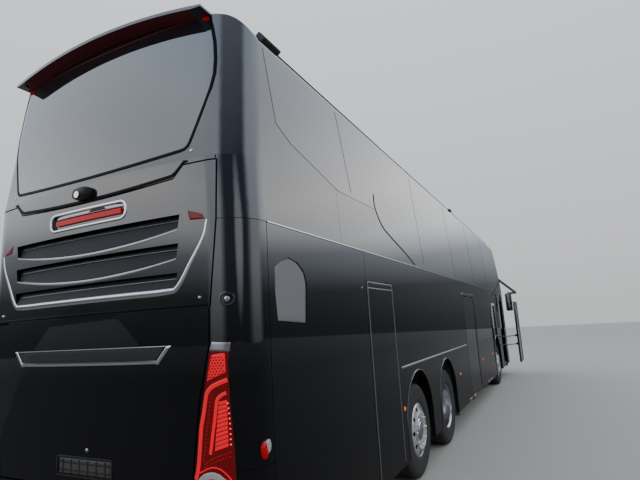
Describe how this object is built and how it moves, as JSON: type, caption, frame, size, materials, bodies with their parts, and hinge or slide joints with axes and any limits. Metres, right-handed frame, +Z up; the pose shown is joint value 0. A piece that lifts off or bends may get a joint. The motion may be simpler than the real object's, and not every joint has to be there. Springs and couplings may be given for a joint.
{
  "type": "double-deck touring coach",
  "caption": "Double-deck touring coach with swing-arm doors, hinged rear and side flaps, twin drive wheels and steered front and trailing wheels.",
  "frame": {"origin": "on the ground, at the middle of the whole outline with the front door open as stored", "axes": "+X forward along the coach, +Y to its left, +Z up"},
  "size_m": [14.488, 3.4064, 3.9899],
  "materials": {
    "body_paint": "high-gloss black paint",
    "dark_glass": "dark tinted safety glass",
    "tyre": "black tyre rubber",
    "wheel_metal": "polished forged alloy",
    "axle_iron": "black-painted castings",
    "arm_steel": "satin steel tube",
    "chassis_paint": "underbody coating",
    "floor_cover": "safety vinyl floor",
    "bulkhead_panel": "satin grey panels",
    "seat_cloth": "dark seat cloth",
    "cab_plastic": "grained moulding",
    "engine_metal": "cast block",
    "red_lamp": "red lamp lens",
    "clear_lamp": "clear lamp lens"
  },
  "bodies": {
    "root": {"belt_rails": "body_paint", "bulkheads": "bulkhead_panel", "dashboard": "cab_plastic", "drive_axle": "axle_iron", "driver_seat": "seat_cloth", "engine": "engine_metal", "front_axle": "axle_iron", "front_mask": "body_paint", "front_upper_frame": "body_paint", "head_lamps": "clear_lamp", "left_lower_wall": "body_paint", "left_upper_wall": "body_paint", "locker_boxes": "bulkhead_panel", "lower_floor": "floor_cover", "mirrors": "body_paint", "passenger_seats": "seat_cloth", "rear_shell": "body_paint", "rear_window": "dark_glass", "right_lower_wall": "body_paint", "right_upper_wall": "body_paint", "roof": "body_paint", "side_glass": "dark_glass", "stairs": "floor_cover", "steering_wheel": "cab_plastic", "tag_axle": "axle_iron", "tail_lamps": "red_lamp", "tail_walls": "body_paint", "underframe": "chassis_paint", "upper_floor": "floor_cover", "windscreens": "dark_glass"},
    "front_wheel_right": {"front_right_tyre": "tyre", "front_right_rim": "wheel_metal"},
    "front_wheel_left": {"front_left_tyre": "tyre", "front_left_rim": "wheel_metal"},
    "tag_wheel_right": {"tag_right_tyre": "tyre", "tag_right_rim": "wheel_metal"},
    "tag_wheel_left": {"tag_left_tyre": "tyre", "tag_left_rim": "wheel_metal"},
    "drive_wheel_right": {"drive_right_tyre": "tyre", "drive_right_rim": "wheel_metal"},
    "drive_wheel_left": {"drive_left_tyre": "tyre", "drive_left_rim": "wheel_metal"},
    "front_steering_end_right": {"front_knuckle_right": "axle_iron"},
    "front_steering_end_left": {"front_knuckle_left": "axle_iron"},
    "tag_steering_end_right": {"tag_knuckle_right": "axle_iron"},
    "tag_steering_end_left": {"tag_knuckle_left": "axle_iron"},
    "front_door_linkage": {"front_door_arm": "arm_steel"},
    "front_door_leaf": {"front_door": "body_paint", "front_door_glass": "dark_glass"},
    "middle_door_linkage": {"middle_door_arm": "arm_steel"},
    "middle_door_leaf": {"middle_door": "body_paint", "middle_door_glass": "dark_glass"},
    "engine_flap_right": {"right_engine_flap": "body_paint"},
    "locker_door_right": {"right_locker_door": "body_paint"},
    "engine_flap_left": {"left_engine_flap": "body_paint"},
    "locker_door_left": {"left_locker_door": "body_paint"},
    "upper_rear_flap": {"rear_upper_flap": "body_paint", "brake_lamp": "red_lamp"},
    "lower_rear_flap": {"rear_lower_flap": "body_paint"}
  },
  "joints": [
    {"name": "front_steer_right", "type": "hinge", "parent": "root", "child": "front_steering_end_right", "pos_m": [4.05601, -0.985, 0.515], "axis": [0, 0, 1], "range_deg": [-45, 45]},
    {"name": "front_wheel_spin_right", "type": "hinge", "parent": "front_steering_end_right", "child": "front_wheel_right", "pos_m": [4.05601, -1.098, 0.515], "axis": [0, 1, 0], "continuous": true},
    {"name": "front_steer_left", "type": "hinge", "parent": "root", "child": "front_steering_end_left", "pos_m": [4.05601, 0.985, 0.515], "axis": [0, 0, 1], "range_deg": [-45, 45]},
    {"name": "front_wheel_spin_left", "type": "hinge", "parent": "front_steering_end_left", "child": "front_wheel_left", "pos_m": [4.05601, 1.098, 0.515], "axis": [0, 1, 0], "continuous": true},
    {"name": "tag_steer_right", "type": "hinge", "parent": "root", "child": "tag_steering_end_right", "pos_m": [-3.74399, -0.985, 0.515], "axis": [0, 0, 1], "range_deg": [-12.15, 12.15]},
    {"name": "tag_wheel_spin_right", "type": "hinge", "parent": "tag_steering_end_right", "child": "tag_wheel_right", "pos_m": [-3.74399, -1.098, 0.515], "axis": [0, 1, 0], "continuous": true},
    {"name": "tag_steer_left", "type": "hinge", "parent": "root", "child": "tag_steering_end_left", "pos_m": [-3.74399, 0.985, 0.515], "axis": [0, 0, 1], "range_deg": [-12.15, 12.15]},
    {"name": "tag_wheel_spin_left", "type": "hinge", "parent": "tag_steering_end_left", "child": "tag_wheel_left", "pos_m": [-3.74399, 1.098, 0.515], "axis": [0, 1, 0], "continuous": true},
    {"name": "drive_wheel_spin_right", "type": "hinge", "parent": "root", "child": "drive_wheel_right", "pos_m": [-2.19399, -1.098, 0.515], "axis": [0, 1, 0], "continuous": true},
    {"name": "drive_wheel_spin_left", "type": "hinge", "parent": "root", "child": "drive_wheel_left", "pos_m": [-2.19399, 1.098, 0.515], "axis": [0, 1, 0], "continuous": true},
    {"name": "front_door_swing", "type": "hinge", "parent": "root", "child": "front_door_linkage", "pos_m": [6.17601, -1.13, 1], "axis": [0, 0, 1], "range_deg": [-130, 0]},
    {"name": "front_door_keep_parallel", "type": "hinge", "parent": "front_door_linkage", "child": "front_door_leaf", "pos_m": [6.60027, -1.55426, 1], "axis": [0, 0, 1], "range_deg": [0, 130]},
    {"name": "middle_door_swing", "type": "hinge", "parent": "root", "child": "middle_door_linkage", "pos_m": [0.87601, -1.13, 1], "axis": [0, 0, 1], "range_deg": [0, 140]},
    {"name": "middle_door_keep_parallel", "type": "hinge", "parent": "middle_door_linkage", "child": "middle_door_leaf", "pos_m": [0.17867, -1.19101, 1], "axis": [0, 0, 1], "range_deg": [-140, 0]},
    {"name": "engine_flap_right_hinge", "type": "hinge", "parent": "root", "child": "engine_flap_right", "pos_m": [-6.90799, -1.275, 1.3], "axis": [0, 0, -1], "range_deg": [0, 95]},
    {"name": "locker_door_right_hinge", "type": "hinge", "parent": "root", "child": "locker_door_right", "pos_m": [-5.21399, -1.275, 1.2], "axis": [0, 0, -1], "range_deg": [0, 95]},
    {"name": "engine_flap_left_hinge", "type": "hinge", "parent": "root", "child": "engine_flap_left", "pos_m": [-6.90799, 1.275, 1.3], "axis": [0, 0, 1], "range_deg": [0, 95]},
    {"name": "locker_door_left_hinge", "type": "hinge", "parent": "root", "child": "locker_door_left", "pos_m": [-5.21399, 1.275, 1.2], "axis": [0, 0, 1], "range_deg": [0, 95]},
    {"name": "upper_rear_flap_hinge", "type": "hinge", "parent": "root", "child": "upper_rear_flap", "pos_m": [-7.24399, 0, 2.815], "axis": [0, 1, 0], "range_deg": [0, 75]},
    {"name": "lower_rear_flap_hinge", "type": "hinge", "parent": "root", "child": "lower_rear_flap", "pos_m": [-7.24399, 0, 1.906], "axis": [0, 1, 0], "range_deg": [0, 80]}
  ],
  "couplings": [
    {"joint": "front_steer_left", "follows": "front_steer_right", "ratio": 1},
    {"joint": "tag_steer_right", "follows": "front_steer_right", "ratio": -0.27},
    {"joint": "tag_steer_left", "follows": "front_steer_right", "ratio": -0.27},
    {"joint": "front_door_keep_parallel", "follows": "front_door_swing", "ratio": -1},
    {"joint": "middle_door_keep_parallel", "follows": "middle_door_swing", "ratio": -1}
  ]
}
